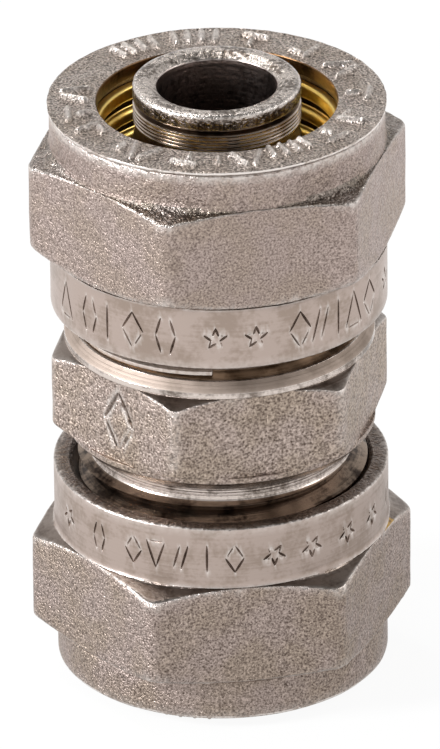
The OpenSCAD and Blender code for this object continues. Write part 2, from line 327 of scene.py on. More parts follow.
print("a 24 mm hexagon reaches", round(hexagon_reach(0, 24, 1.2), 2), "mm at its corners")

# %% [markdown]
# A nut is forged hot in a press, so its skin is a little uneven, and the marks on its ring face stand up
# softly where the metal flowed into the die. Both are real shape here: smooth noise moves the forged
# skin by a few hundredths of a millimetre, and the marks are low mounds along short bars.

# %% The nut's sizes
PITCH = 1.814
MALE_R = 10.4775
ROOT_R = 9.32
THREAD_GAP = 0.05
NUT_AF = 24.0
NUT_ROUND = 1.2
COLLAR_R = 11.95
COLLAR_H = 4.55
BOSS_R = 11.85
BOSS_H = 3.06
BOSS_SLOPE = 14.0
COLLAR_SLOPE = 25.0
HOLE_R = 8.5
LAND_H = 0.98
CHAMBER_R = 9.72
CHAMBER_Z = 8.0
CONE_TAN = math.tan(math.radians(35))
LEAD_IN_R = 10.87
FEMALE_R = 9.37
THREAD_END_R = 10.54
THREAD_END_Z = 6.8
NUT_STEPS = 540
TOP_LIP = 0.12
TOP_TURN = -0.4
BOTTOM_TURN = 6.2
nut_top = NUT_LENGTH / MM
boss_base = nut_top - BOSS_H
print("boss from", round(boss_base, 2), "to", round(nut_top, 2), "mm")


# %% The nut's outline
def nut_outline(rim, lip, fillet):
    """The loop round the metal of a nut whose collar starts at height rim, in mm, and its shoulders. The
    die has left a thin lip round the boss's outer edge that stands out by lip mm. At the boss's foot is a
    fillet, or a sharp crease where there is none."""
    reach = hexagon_reach(0, NUT_AF, NUT_ROUND)
    shoulder = slope_from(BOSS_R, rim + boss_base, -BOSS_SLOPE)
    foot = slope_from(COLLAR_R, rim + COLLAR_H + 0.15, COLLAR_SLOPE)
    top, land_z = rim + nut_top, rim + nut_top - LAND_H
    lead_end = rim + LEAD_IN_R - FEMALE_R
    edge = [(BOSS_R, top - 0.45), (BOSS_R - 0.1, top - 0.33, 0.04), (BOSS_R + lip, top - 0.19, 0.06),
            (BOSS_R + lip, top, 0.05)] if lip else [(BOSS_R, top, 0.25)]
    crease = [(BOSS_R - 0.09, rim + boss_base + 0.02, 0.03), (BOSS_R, rim + boss_base + 0.26, 0.12)]
    boss_foot = [(BOSS_R, rim + boss_base, fillet)] if fillet else crease
    outline = [
        (LEAD_IN_R, rim, 0.05), (COLLAR_R, rim, 0.14), (COLLAR_R, foot(COLLAR_R), 0.3),
        (reach, foot(reach), 0.25), (reach, shoulder(reach), 0.12), *boss_foot, *edge,
        (HOLE_R, top, 0.12), (HOLE_R, land_z),
        (CHAMBER_R, land_z - (CHAMBER_R - HOLE_R) / CONE_TAN), (CHAMBER_R, rim + CHAMBER_Z),
        (THREAD_END_R, rim + CHAMBER_Z), (THREAD_END_R, rim + THREAD_END_Z),
        (FEMALE_R, rim + THREAD_END_Z), (FEMALE_R, lead_end)]
    return outline, foot, shoulder


def forged_wobble(co, seed, size, height):
    """Smooth unevenness, in mm: size is the width of one swell."""
    return height * noise.noise(co / MM / size + Vector((seed, -seed, 2 * seed)))


print("outline has", len(nut_outline(0, TOP_LIP, SHOULDER_FILLET)[0]), "corners")

# %% [markdown]
# The marks on the ring face are bars with round ends, drawn in a plan of the face. Each bar is given by
# where it lies round the ring, how far out, how it leans, and its length. A point of the face rises by
# how deep it lies inside a bar, so the mounds have soft sides like forged ones.

# %% Raised marks
MARK_WIDTH = 0.62
MARK_RISE = 0.34
ROW_RADIUS = {"row": 10.4, "inner row": 9.6}
BURR_R = 11.82
BURR_RISE = 0.06


def bar(degrees, radius, lean, length):
    """A bar on the ring face: its middle's place, the direction along it and half its length, in mm."""
    place = math.radians(degrees)
    along = place + math.radians(lean)
    middle = Vector((radius * math.cos(place), radius * math.sin(place)))
    return middle, Vector((math.cos(along), math.sin(along))), length / 2


def mark_group(degrees, kind):
    """A few bars that make one mark: a slanted row, a wedge, a dash and a dot, a hook or a dot."""
    if kind in ROW_RADIUS:
        return [bar(degrees + step, ROW_RADIUS[kind], -4, 1.5) for step in (-8.1, -2.7, 2.7, 8.1)]
    if kind == "wedge":
        return [bar(degrees - 3.6, 10.1, 24, 1.9), bar(degrees + 3.6, 10.1, -24, 1.9)]
    if kind == "dash":
        return [bar(degrees, 10.7, 80, 1.7), bar(degrees + 1, 9.6, 0, 0.7)]
    if kind == "hook":
        return [bar(degrees - 4, 10.1, 10, 1.8), bar(degrees + 1, 9.5, 80, 0.9)]
    return [bar(degrees, 10.1, 0, 0.6)]


def mark_height(co, bars):
    """How far the face rises at a point, in mm."""
    spot = Vector((co.x, co.y)) / MM
    depth = 0.0
    for middle, along, half in bars:
        offset = spot - middle
        if offset.length > half + MARK_WIDTH:
            continue
        t = max(-half, min(half, offset.dot(along)))
        depth = max(depth, 1 - (offset - along * t).length / (MARK_WIDTH / 2))
    return MARK_RISE * min(1.0, depth * 1.3) ** 0.8 if depth > 0 else 0.0


def ring_face_height(co, r, edge_r, bars, seed):
    """Height of the forged ring face in mm: marks, a broken burr near its outer edge, and rough skin."""
    skin = forged_wobble(co, seed, 0.35, 0.03) + forged_wobble(co, seed, 1.3, 0.05)
    burr = max(0.0, 1 - abs(r - BURR_R) / 0.12) * (0.6 + noise.noise(co / MM / 0.8))
    edge = min(1.0, max(0.0, (edge_r - 0.02 - r) / 0.1))
    inner = min(1.0, max(0.0, (r - HOLE_R - 0.1) / 0.25))
    return edge * inner * (mark_height(co, bars) + BURR_RISE * burr + skin)


TOP_MARKS = {14: "wedge", 38: "hook", 60: "dash", 84: "row", 109: "row", 160: "wedge", 178: "dash",
             196: "hook", 214: "dot", 224: "wedge", 243: "dash", 256: "dot", 268: "wedge",
             287: "inner row", 308: "dash", 328: "hook", 349: "dash"}
top_bars = [one for degrees, kind in TOP_MARKS.items() for one in mark_group(degrees, kind)]
print(len(top_bars), "raised bars on the upper ring face")

# %% [markdown]
# A thread is a groove that winds round the metal. Its cutter is a small outline, wider on one side, spun
# with a rise at each step, and it is taken away from the plain piece, just as the tool does it. The upper
# and lower thread are alike: the lower half of the coupling is the upper half turned half a turn about X.

# %% Cutters and the Boolean step
FLANK = math.tan(math.radians(27.5))
ROOT_FLAT = 0.3
THREAD_STEPS = 120
THREAD_ZERO = 0.35


def male_groove_width(r):
    return ROOT_FLAT + 2 * (r - ROOT_R) * FLANK


def female_groove_width(r):
    return PITCH - male_groove_width(r) + 2 * THREAD_GAP


def wind_cutter(r_in, r_out, width_at, low, high, phase):
    """A cutter between two radii that winds from height low to high. The helix has height phase on +X."""
    bm = bmesh.new()
    corners = [(r_in, -width_at(r_in) / 2), (r_out, -width_at(r_out) / 2), (r_out, width_at(r_out) / 2),
               (r_in, width_at(r_in) / 2)]
    verts = [bm.verts.new((r * MM, 0, (low + z) * MM)) for r, z in corners]
    for first, second in zip(verts, verts[1:] + verts[:1]):
        bm.edges.new((first, second))
    turns = (high - low) / PITCH
    steps = round(turns * THREAD_STEPS)
    bmesh.ops.spin(bm, geom=bm.verts[:] + bm.edges[:], cent=(0, 0, 0), axis=(0, 0, 1),
                   dvec=(0, 0, PITCH * turns / steps * MM), angle=2 * math.pi * turns, steps=steps,
                   use_merge=False, use_normal_flip=False, use_duplicate=False)
    bmesh.ops.holes_fill(bm, edges=[edge for edge in bm.edges if edge.is_boundary], sides=0)
    bmesh.ops.recalc_face_normals(bm, faces=bm.faces)
    first_turn = Matrix.Rotation(2 * math.pi * (low - phase) / PITCH, 3, "Z")
    bmesh.ops.rotate(bm, verts=bm.verts, cent=(0, 0, 0), matrix=first_turn)
    return bm


def combine(bm, other, operation="DIFFERENCE"):
    """Runs one Boolean on two closed bmeshes and gives the result as a new bmesh."""
    objects = []
    for part in (bm, other):
        mesh = bpy.data.meshes.new("boolean_part")
        part.to_mesh(mesh)
        part.free()
        objects.append(bpy.data.objects.new("boolean_part", mesh))
        bpy.context.scene.collection.objects.link(objects[-1])
    step = objects[0].modifiers.new("boolean", "BOOLEAN")
    step.operation = operation
    step.solver = "MANIFOLD"
    step.object = objects[1]
    shaped = objects[0].evaluated_get(bpy.context.evaluated_depsgraph_get())
    result = bmesh.new()
    result.from_mesh(shaped.to_mesh())
    shaped.to_mesh_clear()
    for part in objects:
        bpy.data.meshes.remove(part.data)
    return result


def to_lower_side(bm):
    """Turns what was made for the upper side half a turn about X."""
    bmesh.ops.rotate(bm, verts=bm.verts, cent=(0, 0, 0), matrix=Matrix.Rotation(math.pi, 3, "X"))


print("male groove is", round(male_groove_width(MALE_R), 2), "mm wide at its mouth")


# %% [markdown]
# The collars carry small stamped signs: stars, and plain figures such as lozenges and bars. A stamp's
# stroke is deepest in its middle and runs out at its ends, so a stroke is a stretched ball, half sunk in
# the metal, which is taken away. The balls are laid out flat and then wrapped round the collar.

# %% Stamped strokes
STROKE_WIDTH = 0.2
STROKE_DEPTH = 0.16
STAR_TIP = 0.82
STAR_DIP = 0.34
STAR_DEPTHS = (0.9, 0.3, 0.95, 0.35, 0.2, 0.8, 0.55, 0.9, 0.25, 0.7)
SIGN_MIDDLE = 2.35


def sign_strokes(kind):
    """Strokes of a sign as (x, y, x, y, depth) from end to end: a star in mm, the rest in shares of the
    height."""
    if kind == "star":
        corners = []
        for i in range(10):
            reach = STAR_DIP if i % 2 else STAR_TIP
            corners.append((reach * math.sin(i * 0.2 * math.pi), reach * math.cos(i * 0.2 * math.pi)))
        ends = zip(corners, corners[1:] + corners[:1])
        return [(*first, *second, depth) for (first, second), depth in zip(ends, STAR_DEPTHS)]
    if kind == "lozenge":
        return [(0, 0.5, 0.3, 0, 1.0), (0.3, 0, 0, -0.5, 0.5), (0, -0.5, -0.3, 0, 0.6),
                (-0.3, 0, 0, 0.5, 0.9)]
    if kind == "triangle":
        return [(-0.32, -0.45, 0, 0.5, 0.8), (0, 0.5, 0.32, -0.45, 1.0), (-0.3, -0.45, 0.3, -0.45, 0.5)]
    if kind == "slashes":
        return [(-0.25, -0.45, 0, 0.45, 0.9), (0.02, -0.45, 0.27, 0.45, 0.7)]
    if kind == "arcs":
        return [(-0.12, 0.48, -0.26, 0, 0.9), (-0.26, 0, -0.12, -0.48, 0.8), (0.12, 0.48, 0.26, 0, 0.7),
                (0.26, 0, 0.12, -0.48, 0.9)]
    return [(0, 0.5, 0, -0.5, 0.9)]


def stroke_cutters(signs, tall, wrap, width=STROKE_WIDTH):
    """Two cutters, each with every second stroke, so that strokes that meet never lie in one cutter. wrap
    gets a sign's degrees and a point that is x along, y up and depth in, and gives its place in mm."""
    cutters = [bmesh.new(), bmesh.new()]
    for degrees, kind in signs.items():
        for order, (x0, y0, x1, y1, depth) in enumerate(sign_strokes(kind)):
            bm = cutters[order % 2]
            scale = 1.0 if kind == "star" else tall
            start, end = Vector((x0, y0)) * scale, Vector((x1, y1)) * scale
            middle, along = (start + end) / 2, end - start
            ball = bmesh.ops.create_uvsphere(bm, u_segments=8, v_segments=14, radius=1.0)["verts"]
            size = Matrix.Diagonal((width / 2, STROKE_DEPTH, along.length / 2 + 0.08, 1.0))
            lean = Matrix.Rotation(math.atan2(along.x, along.y), 4, "Y")
            lift = Matrix.Translation((middle.x, -STROKE_DEPTH * (1 - depth), middle.y))
            bmesh.ops.transform(bm, verts=ball, matrix=lift @ lean @ size)
            for vert in ball:
                vert.co = wrap(degrees, vert.co.x, vert.co.z, vert.co.y) * MM
    for bm in cutters:
        bmesh.ops.recalc_face_normals(bm, faces=bm.faces)
    return cutters


def round_collar(height):
    """Wraps a sign round the collar, with its middle at a height in mm."""
    def wrap(degrees, x, y, depth):
        angle, r = math.radians(degrees - 90) + x / COLLAR_R, COLLAR_R + 0.02 - depth
        return Vector((r * math.cos(angle), r * math.sin(angle), height + y))
    return wrap


TOP_SIGNS = {-78.6: "triangle", -64.1: "arcs", -55.5: "bar", -45.1: "lozenge", -32.9: "arcs", -15.7: "star",
             -1.9: "star", 14: "lozenge", 22: "slashes", 30: "bar", 38: "triangle", 48: "lozenge",
             64: "star", 78: "star", 95: "slashes", 110: "lozenge", 124: "triangle", 150: "star",
             164: "star", 190: "arcs", 203: "bar", 216: "lozenge"}
BOTTOM_SIGNS = {-79.5: "star", -61: "arcs", -46: "lozenge", -37.5: "triangle", -28.5: "slashes",
                -19.5: "bar", -10: "lozenge", 3.8: "star", 17.9: "star", 33.8: "star", 49.1: "star",
                66: "slashes", 80: "triangle", 94: "bar", 106: "arcs", 122: "star", 136: "star",
                158: "lozenge", 171: "slashes", 184: "triangle", 200: "star", 214: "star", 228: "star",
                250: "bar"}
print(len(TOP_SIGNS), "signs on the upper collar,", len(BOTTOM_SIGNS), "on the lower one")


# %% Make a nut
def nut_rows(rim):
    """Rows for the nut's outline: fine on the ring face and at the shoulders, coarser elsewhere."""
    def row_at(r, z):
        if z > rim + nut_top - 0.01:
            return 0.11
        if r < CHAMBER_R + 0.01:
            return 2.0
        if abs(z - rim - COLLAR_H - 0.4) < 0.4 or abs(z - rim - boss_base + 0.3) < 0.35:
            return 0.15
        return 0.36
    return row_at


def roughen_forging(bm, rim, lip, bars, seed):
    """Moves the points of a nut's skin: the ring face and its marks, the lip, swells and ragged edges."""
    top, foot_end = rim + nut_top, rim + COLLAR_H + 0.3
    corner = hexagon_reach(0, NUT_AF, NUT_ROUND)
    for vert in bm.verts:
        r, z, angle = polar(vert.co)
        out, rise = 0.0, 0.0
        if z > top - 0.05 and r > HOLE_R + 0.1:
            rise = ring_face_height(vert.co, r, BOSS_R + (lip or -0.2), bars, seed)
        if lip and z > top - 0.4 and r > BOSS_R - 0.1:
            out += forged_wobble(vert.co, seed, 0.7, 0.03) + forged_wobble(vert.co, seed + 1, 5.0, 0.035)
        if r > 11.0 and z > foot_end:
            out += forged_wobble(vert.co, seed + 3, 2.6, 0.035) + forged_wobble(vert.co, seed, 0.7, 0.012)
        if r > BOSS_R + 0.02 and abs(z - rim - boss_base + 0.25) < 0.6:
            rise += forged_wobble(vert.co, seed + 5, 0.45, 0.05)
        if r > corner - 0.35 and abs(z - rim - boss_base + 0.5) < 0.3:
            out += forged_wobble(vert.co, seed + 7, 0.3, 0.025)
        if r > COLLAR_R - 0.01 and abs(z - foot_end + 0.1) < 0.3:
            out += forged_wobble(vert.co, seed + 9, 0.4, 0.03)
            out += max(0.0, forged_wobble(vert.co, seed, 2.5, 0.1))
        if r > COLLAR_R - 0.3 and z < rim + 0.1:
            rise += forged_wobble(vert.co, seed + 2, 0.3, 0.02)
        vert.co += Vector((out * math.cos(angle), out * math.sin(angle), rise)) * MM


def make_nut(rim, turn, lip, fillet, bars, signs, sign_height, seed):
    """A nut on the upper side. Its collar's rim is at height rim, and its hexagon is turned by turn."""
    outline, foot, shoulder = nut_outline(rim, lip, fillet)
    bm = spin_outline(outline, NUT_STEPS, nut_rows(rim))
    Hexagon(NUT_AF, NUT_ROUND, turn, min(BOSS_R, COLLAR_R), foot, shoulder).press(bm)
    roughen_forging(bm, rim, lip, bars, seed)
    cutter = wind_cutter(FEMALE_R - 0.17, MALE_R + THREAD_GAP, female_groove_width, rim - 1.0,
                         rim + THREAD_END_Z + 0.82, THREAD_ZERO + PITCH / 2)
    bm = combine(bm, cutter)
    for strokes in stroke_cutters(signs, sign_height, round_collar(rim + SIGN_MIDDLE)):
        bm = combine(bm, strokes)
    return bm


top_bm = make_nut(TOP_RIM_Z / MM, TOP_TURN, TOP_LIP, SHOULDER_FILLET, top_bars, TOP_SIGNS, 2.8, 11)
print("upper nut has", len(top_bm.faces), "faces")

# %% [markdown]
# The lower nut is the same forging, turned over. It is screwed on a little less and stands at another
# angle, and its own die left other marks, which nobody sees until the coupling is picked up.

# %% The lower nut
BOTTOM_MARKS = {20: "row", 42: "dash", 63: "wedge", 95: "hook", 118: "row", 150: "dot", 172: "wedge",
                196: "row", 224: "dash", 251: "hook", 280: "row", 305: "wedge", 332: "dot"}
bottom_bars = [one for degrees, kind in BOTTOM_MARKS.items() for one in mark_group(degrees, kind)]
lower_signs = {180 - degrees: kind for degrees, kind in BOTTOM_SIGNS.items()}
bottom_bm = make_nut(BOTTOM_RIM_Z / MM, BOTTOM_TURN, 0, 0, bottom_bars, lower_signs, 2.15, 29)
print("lower nut has", len(bottom_bm.faces), "faces")

# %% [markdown]
# The body is forged too, but only its hexagon keeps the forged skin. Above and below it the lathe leaves
# a thin flange, a bright cone, a relief groove and the thread, and inside the nut a spigot goes up into
# the pipe. The pipe's end sits in a pocket round the spigot's foot, on a washer.

# %% The body's sizes
BODY_AF = 21.5
BODY_ROUND = 0.9
BODY_SLOPE = 25.0
BODY_STEPS = 360
BODY_MARK = -150
HEX_TOP = 3.15
FLANGE_R = 11.05
FLANGE_TOP = 3.55
CONE_TOP = 4.3
CONE_TOP_R = 10.3475
CONE_END_RISE = 0.34
RELIEF_R = 9.3165
RUN_IN_R = 10.2
RUN_IN_Z = (4.15, 4.75)
RUN_IN_WIDTH = 0.26
RUN_IN_ZERO = 4.75 + (107.5 / 360) * PITCH
THREAD_START = 6.3
THREAD_FACE = 11.8
POCKET_R = 8.3
POCKET_Z = 9.8
WASHER_TOP = 10.8
FOOT_R = 6.24
SPIGOT_R = 5.94
SEAL_FLOOR_R = 4.82
SEAL_HALF = 0.775
SEAL_HEIGHTS = (15.035, 17.685)
RIB_LOW = 19.8
RIB = 0.27
RIB_COUNT = 5
RIB_CUT = 0.1
RIM_LOW = 21.55
TIP = TIP_Z / MM
BORE_R = 4.25
MOUTH_R = 4.95
MOUTH_DEPTH = 0.35


# %% The body's outline
def seal_groove(z):
    return [(SPIGOT_R, z - SEAL_HALF), (SEAL_FLOOR_R, z - SEAL_HALF), (SEAL_FLOOR_R, z + SEAL_HALF),
            (SPIGOT_R, z + SEAL_HALF)]


def spigot_tip():
    """The ribs, the groove under the rim and the rim, from the waist up."""
    ribs = []
    for count in range(RIB_COUNT):
        z = RIB_LOW + count * RIB
        ribs += [(SPIGOT_R - RIB_CUT, z), (SPIGOT_R, z + RIB * 0.3), (SPIGOT_R, z + RIB * 0.7)]
    top = RIB_LOW + RIB_COUNT * RIB
    return ([(SPIGOT_R - 0.24, RIB_LOW - 0.5), (SPIGOT_R - 0.24, RIB_LOW - 0.08)] + ribs
            + [(SPIGOT_R - RIB_CUT, top), (SPIGOT_R - 0.5, top + 0.12, 0.06),
               (SPIGOT_R - 0.5, RIM_LOW - 0.12, 0.06), (SPIGOT_R - 0.05, RIM_LOW, 0.04),
               (SPIGOT_R, RIM_LOW + 0.12, 0.04), (SPIGOT_R, TIP, 0.3), (MOUTH_R, TIP, 0.06),
               (BORE_R, TIP - MOUTH_DEPTH, 0.1)])


def upper_outline():
    """The upper half of the loop, from the hexagon up the outside and down the bore."""
    reach = hexagon_reach(0, BODY_AF, BODY_ROUND)
    shoulder = slope_from(FLANGE_R, HEX_TOP, -BODY_SLOPE)
    outside = [
        (reach, shoulder(reach), 0.12), (FLANGE_R, HEX_TOP, 0.06), (FLANGE_R, FLANGE_TOP, 0.07),
        (CONE_TOP_R, CONE_TOP), (RELIEF_R, CONE_TOP + (CONE_TOP_R - RELIEF_R) * CONE_END_RISE, 0.2),
        (RELIEF_R, THREAD_START - 0.58, 0.2),
        (MALE_R, THREAD_START, 0.08), (MALE_R, THREAD_FACE - 0.6), (MALE_R - 0.6, THREAD_FACE),
        (POCKET_R, THREAD_FACE, 0.12), (POCKET_R, POCKET_Z), (FOOT_R, POCKET_Z), (FOOT_R, WASHER_TOP),
        (SPIGOT_R, WASHER_TOP)]
    return outside + seal_groove(SEAL_HEIGHTS[0]) + seal_groove(SEAL_HEIGHTS[1]) + spigot_tip(), shoulder


def body_rows(r, z):
    """Rows for the body: fine on the mouth's lip, finer on the hexagon than elsewhere."""
    if abs(z) > RIM_LOW and r > BORE_R + 0.05:
        return 0.2
    if r > FLANGE_R:
        return 0.4
    return 0.12 if r > CONE_TOP_R and FLANGE_TOP < z < CONE_TOP else 3.0


def make_body():
    upper, shoulder = upper_outline()
    lower = [(corner[0], -corner[1], *corner[2:]) for corner in reversed(upper)]
    bm = spin_outline(upper + lower, BODY_STEPS, body_rows)
    Hexagon(BODY_AF, BODY_ROUND, 0, FLANGE_R, lambda r: -shoulder(r), shoulder).press(bm)
    for vert in bm.verts:
        r, z, angle = polar(vert.co)
        if abs(z) < HEX_TOP - 0.12 and r > 10:
            swell = forged_wobble(vert.co, 5, 2.4, 0.04) + forged_wobble(vert.co, 7, 0.6, 0.012)
            vert.co.x += swell * math.cos(angle) * MM
            vert.co.y += swell * math.sin(angle) * MM
        if abs(z) > RIM_LOW and r > BORE_R + 0.05:
            vert.co += noise.noise_vector(vert.co / MM / 0.4) * 0.022 * MM
            vert.co.z = max(-TIP_Z, min(TIP_Z, vert.co.z))
    start = wind_cutter(RELIEF_R - 0.2, RUN_IN_R, lambda r: RUN_IN_WIDTH, *RUN_IN_Z, RUN_IN_ZERO)
    bm = combine(bm, start, "UNION")
    for side in ("upper", "lower"):
        cutter = wind_cutter(ROOT_R, MALE_R + 0.12, male_groove_width, THREAD_START - 1.03,
                             THREAD_FACE + 1.2, THREAD_ZERO)
        if side == "lower":
            to_lower_side(cutter)
        bm = combine(bm, cutter)
    for strokes in stroke_cutters({BODY_MARK: "lozenge"}, 4.7, on_body_flat, 0.46):
        bm = combine(bm, strokes)
    return bm


def on_body_flat(degrees, x, y, depth):
    """Lays a sign on the flat that faces the direction of so many degrees."""
    facing = Vector((math.cos(math.radians(degrees)), math.sin(math.radians(degrees)), 0))
    along = Vector((-facing.y, facing.x, 0))
    return facing * (BODY_AF / 2 - depth) + along * (x + 0.7) + Vector((0, 0, y - 0.1))


body_bm = make_body()
print("body has", len(body_bm.faces), "faces")

# %% [markdown]
# The split ring clamps the pipe. It is turned from bare brass: three grooves leave narrow lands inside,
# whose rounded edges catch the light deep in the nut, and a slit lets it close.

# %% Split rings
RING_BORE_R = 8.2
RING_FLOOR_R = 8.7
RING_OUTER_R = 9.6
RING_END_R = 8.82
RING_FOOT = 0.4
RING_GROOVE_W = 0.9
RING_GROOVES = 3
RING_END_LAND = 1.07
RING_SLIT = 1.6


def make_split_ring(low, high):
    """A ring on the upper side between two heights in mm, with its slit towards -Y."""
    pitch = (high - low - RING_END_LAND) / RING_GROOVES
    outline = [(RING_BORE_R, low, 0.06)]
    for count in range(1, RING_GROOVES + 1):
        z = low + count * pitch
        outline += [(RING_BORE_R, z - RING_GROOVE_W, 0.3), (RING_FLOOR_R, z - RING_GROOVE_W + 0.2, 0.1),
                    (RING_FLOOR_R, z - 0.1, 0.2), (RING_BORE_R, z, 0.25)]
    outline += [(RING_BORE_R, high, 0.25), (RING_END_R, high, 0.06),
                (RING_OUTER_R, high - (RING_OUTER_R - RING_END_R) / CONE_TAN, 0.1),
                (RING_OUTER_R, low + RING_FOOT, 0.06), (RING_OUTER_R - RING_FOOT, low, 0.06)]
    bm = spin_outline(outline, 180, lambda r, z: 2.0, 4)
    slit = bmesh.new()
    bmesh.ops.create_cube(slit, size=1.0)
    bmesh.ops.scale(slit, verts=slit.verts, vec=Vector((RING_SLIT, 12.0, high - low + 2.0)) * MM)
    bmesh.ops.translate(slit, verts=slit.verts, vec=Vector((0, -6.0, (low + high) / 2)) * MM)
    return combine(bm, slit)


ring_low, ring_high = (corner.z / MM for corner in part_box("top_split_ring"))
top_ring_bm = make_split_ring(ring_low, ring_high)
ring_high, ring_low = (-corner.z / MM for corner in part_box("bottom_split_ring"))
bottom_ring_bm = make_split_ring(ring_low, ring_high)
half_turn = Matrix.Rotation(math.pi, 3, "Z")
bmesh.ops.rotate(bottom_ring_bm, verts=bottom_ring_bm.verts, cent=(0, 0, 0), matrix=half_turn)
to_lower_side(bottom_ring_bm)
print("split ring has", len(top_ring_bm.faces), "faces")

# %% [markdown]
# One piece carries several finishes, so each face is given the finish of the zone that it lies in. The
# zones follow the lathe and the blasting cabinet: forged skin is blasted, turned metal is bright, the
# collar is turned and then lightly blasted, and what lies deep inside stays dark.

# %% Zones
def nut_zone(co, lean, rim, bare=None):
    """A nut's finish, as the name of its place. Near the angle bare, in degrees, brass shows through."""
    r, z, angle = polar(co)
    height = z - rim
    ragged = noise.noise(co / MM / 0.35)
    if height < 0.3 and r > LEAD_IN_R - 0.25 and lean < -0.3:
        return "rim face"
    if r < COLLAR_R - 0.35 and height < CHAMBER_Z + 5.5:
        return "inside"
    if r < HOLE_R + 0.04 and height > CHAMBER_Z:
        return "land" if height > nut_top - LAND_H - 0.05 else "inside"
    if height > nut_top - 0.42 and r > BOSS_R - 0.12 and lean < 0.6:
        if height > nut_top - 0.22:
            return "lip"
        return "coarse shoulder" if r < BOSS_R - 0.01 else "blasted"
    if height > nut_top - 0.22:
        return "raised mark" if height > nut_top + 0.17 + 0.05 * ragged else "ring face"
    # The crease at the boss's foot takes the stroke colour: a painted shade line in the crease.
    if abs(height - boss_base - 0.08) < 0.12 + 0.05 * ragged and r < BOSS_R - 0.025:
        return "stroke"
    if height < COLLAR_H + 0.12 + 0.08 * ragged:
        stamped = r < COLLAR_R - 0.012 and 0.3 < height < COLLAR_H - 0.25
        return "stroke" if stamped else "collar"
    if r > BOSS_R + 0.04 and lean > 0.35 + 0.1 * ragged:
        return "coarse shoulder"
    if r > BOSS_R and lean < -0.7:
        rubbed_through = bare is not None and abs(math.degrees(angle) - bare) < 5 + 2 * ragged
        return "bare brass" if rubbed_through else "machined shoulder"
    return "blasted"


def body_zone(co, lean):
    """The body's finish, as the name of its place."""
    r, z, _ = polar(co)
    if r < BORE_R + 0.05:
        return "bore"
    if r < FOOT_R + 0.2:
        if abs(z) > RIM_LOW - 0.02:
            return "spigot rim"
        if RIB_LOW < abs(z) < RIB_LOW + RIB * RIB_COUNT:
            return "ribs"
        return "spigot groove" if r < SPIGOT_R - 0.1 else "spigot"
    if r > FLANGE_R and abs(z) < HEX_TOP and abs(lean) > 0.75:
        return "machined shoulder"
    if -FLANGE_TOP - 0.02 < z < HEX_TOP + 0.02 and r > FLANGE_R - 0.45:
        facing = math.radians(BODY_MARK)
        sunk = BODY_AF / 2 - (co.x * math.cos(facing) + co.y * math.sin(facing)) / MM
        marked = 0.05 < sunk < 0.5 and abs(z) < 2.8 and abs(math.atan2(co.y, co.x) - facing) < 0.35
        return "mark" if marked else "blasted"
    if z < 0:
        # Only below the hexagon is the thread's start painted dark: painted shade in the gap under the
        # hexagon.
        stained = THREAD_START - 0.6 < -z < THREAD_START + 2 and r > ROOT_R - 0.1
        return "thread start" if stained else "turned"
    over_cone = z - CONE_TOP - (CONE_TOP_R - r) * CONE_END_RISE
    if CONE_TOP + 0.01 < z < THREAD_START and r < CONE_TOP_R and over_cone < 0.04:
        return "relief"
    edge = CONE_TOP - 0.12 < z < CONE_TOP + 0.01 and r < CONE_TOP_R + 0.14
    return "cone" if FLANGE_TOP + 0.03 < z < RUN_IN_Z[1] + RUN_IN_WIDTH and not edge else "turned"


def ring_zone(co, lean):
    """The split ring's finish: what looks up and its lands are bright brass, the grooves are painted dark as
    shade.
    """
    return "land" if abs(lean) > 0.25 or polar(co)[0] < RING_BORE_R + 0.02 else "groove"


def paint_zones(bm, names, zone_at):
    """Gives each face its zone; zone_at gets the face's middle and how far it faces up or down."""
    bm.normal_update()
    for face in bm.faces:
        face.material_index = names.index(zone_at(face.calc_center_median(), face.normal.z))


def mark_worn_and_highlighted_edges(bm, sunken=(), above=-1.0):
    """Writes how exposed each point is: 0 on flat metal, 1 on a sharp outer edge, spread to its neighbours.
    The exposure paints both edge wear and a painted highlight. Edges of the zones that are sunken, and those
    lower than above, stay as they are."""
    layer = bm.verts.layers.float.new("edge_wear_and_highlight")
    sharp = {}
    for vert in bm.verts:
        bend = sum(max(0.0, edge.calc_face_angle_signed(0.0)) for edge in vert.link_edges)
        if vert.co.z < above or any(face.material_index in sunken for face in vert.link_faces):
            bend = 0.0
        sharp[vert] = min(1.0, max(0.0, bend - 0.3) / 0.7)
    for vert in bm.verts:
        around = [sharp[edge.other_vert(vert)] for edge in vert.link_edges]
        vert[layer] = max(sharp[vert], 0.4 * max(around))


NUT_ZONES = ["blasted", "collar", "machined shoulder", "inside", "land", "ring face", "coarse shoulder",
             "rim face", "stroke", "lip", "raised mark", "bare brass"]
BARE_SPOT = 25
BODY_ZONES = ["blasted", "turned", "spigot", "bore", "machined shoulder", "spigot rim", "spigot groove",
              "ribs", "cone", "relief", "thread start", "mark"]
RING_ZONES = ["land", "groove"]
paint_zones(top_bm, NUT_ZONES, lambda co, lean: nut_zone(co, lean, TOP_RIM_Z / MM))
paint_zones(bottom_bm, NUT_ZONES, lambda co, lean: nut_zone(co, lean, BOTTOM_RIM_Z / MM, BARE_SPOT))
to_lower_side(bottom_bm)
paint_zones(body_bm, BODY_ZONES, body_zone)
for bm in (top_ring_bm, bottom_ring_bm):
    paint_zones(bm, RING_ZONES, ring_zone)
    mark_worn_and_highlighted_edges(bm)
for bm in (top_bm, bottom_bm):
    mark_worn_and_highlighted_edges(bm, [NUT_ZONES.index(zone) for zone in ("stroke", "ring face", "inside", "land")])
